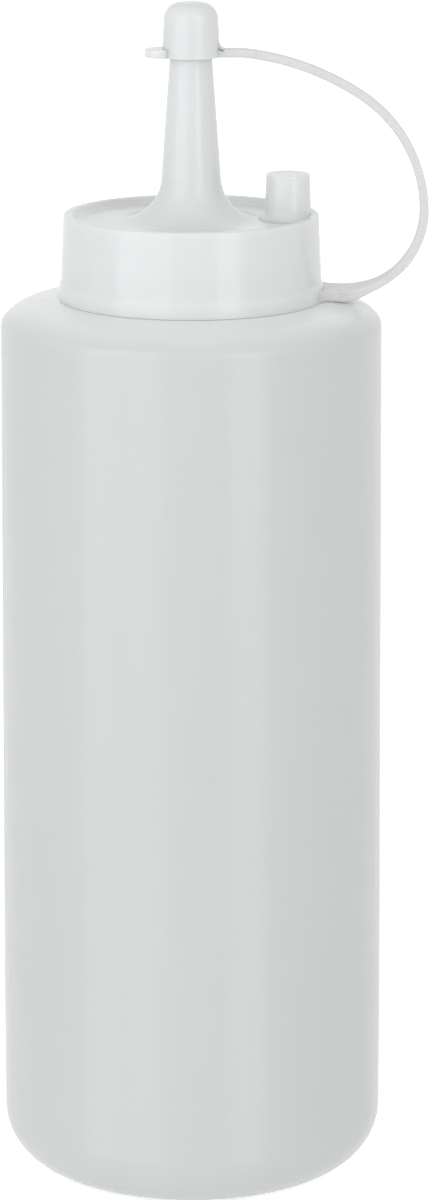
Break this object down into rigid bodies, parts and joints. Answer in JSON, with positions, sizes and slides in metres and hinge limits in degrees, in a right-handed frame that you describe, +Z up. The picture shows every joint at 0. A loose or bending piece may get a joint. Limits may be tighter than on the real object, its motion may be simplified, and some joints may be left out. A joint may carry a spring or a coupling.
{
  "type": "sauce squeeze bottle",
  "caption": "Round squeeze bottle for sauces with a wide screw cap, a tapering nozzle and a tip cap on a moulded strap with a parking post.",
  "frame": {"origin": "centre of the ring that the bottle stands on, at the level of the table", "axes": "+Z up along the bottle and nozzle, +X towards the parking post and the strap's loop"},
  "size_m": [0.0886, 0.08, 0.2464],
  "materials": {
    "bottle_pe": "natural polyethylene, satin, milky and slightly translucent",
    "cap_pe": "white polyethylene, moulded, soft gloss",
    "washer_silicone": "milky silicone, matte"
  },
  "bodies": {
    "bottle": {"bottle": "bottle_pe"},
    "cap_seal": {"seal_washer": "washer_silicone"},
    "screw_cap": {"screw_cap": "cap_pe"},
    "strap": {"tether_strap": "cap_pe"},
    "tip_cap": {"tip_cap": "cap_pe"}
  },
  "joints": [
    {"name": "cap_lift", "type": "slide", "parent": "bottle", "child": "cap_seal", "axis": [0, 0, 1], "range_m": [0, 0.015]},
    {"name": "cap_turn", "type": "hinge", "parent": "cap_seal", "child": "screw_cap", "pos_m": [0, 0, 0.1942], "axis": [0, 0, 1], "range_deg": [0, 1080]},
    {"name": "tip_pull", "type": "slide", "parent": "screw_cap", "child": "strap", "axis": [0, 0, 1], "range_m": [0, 0.016], "deforming": ["tether_strap"]},
    {"name": "tip_flip", "type": "hinge", "parent": "strap", "child": "tip_cap", "pos_m": [0.01, 0, 0.23705], "axis": [0, 1, 0], "range_deg": [0, 115]}
  ],
  "couplings": [
    {"joint": "cap_lift", "follows": "cap_turn", "m_per_rad": 0.00079577}
  ]
}
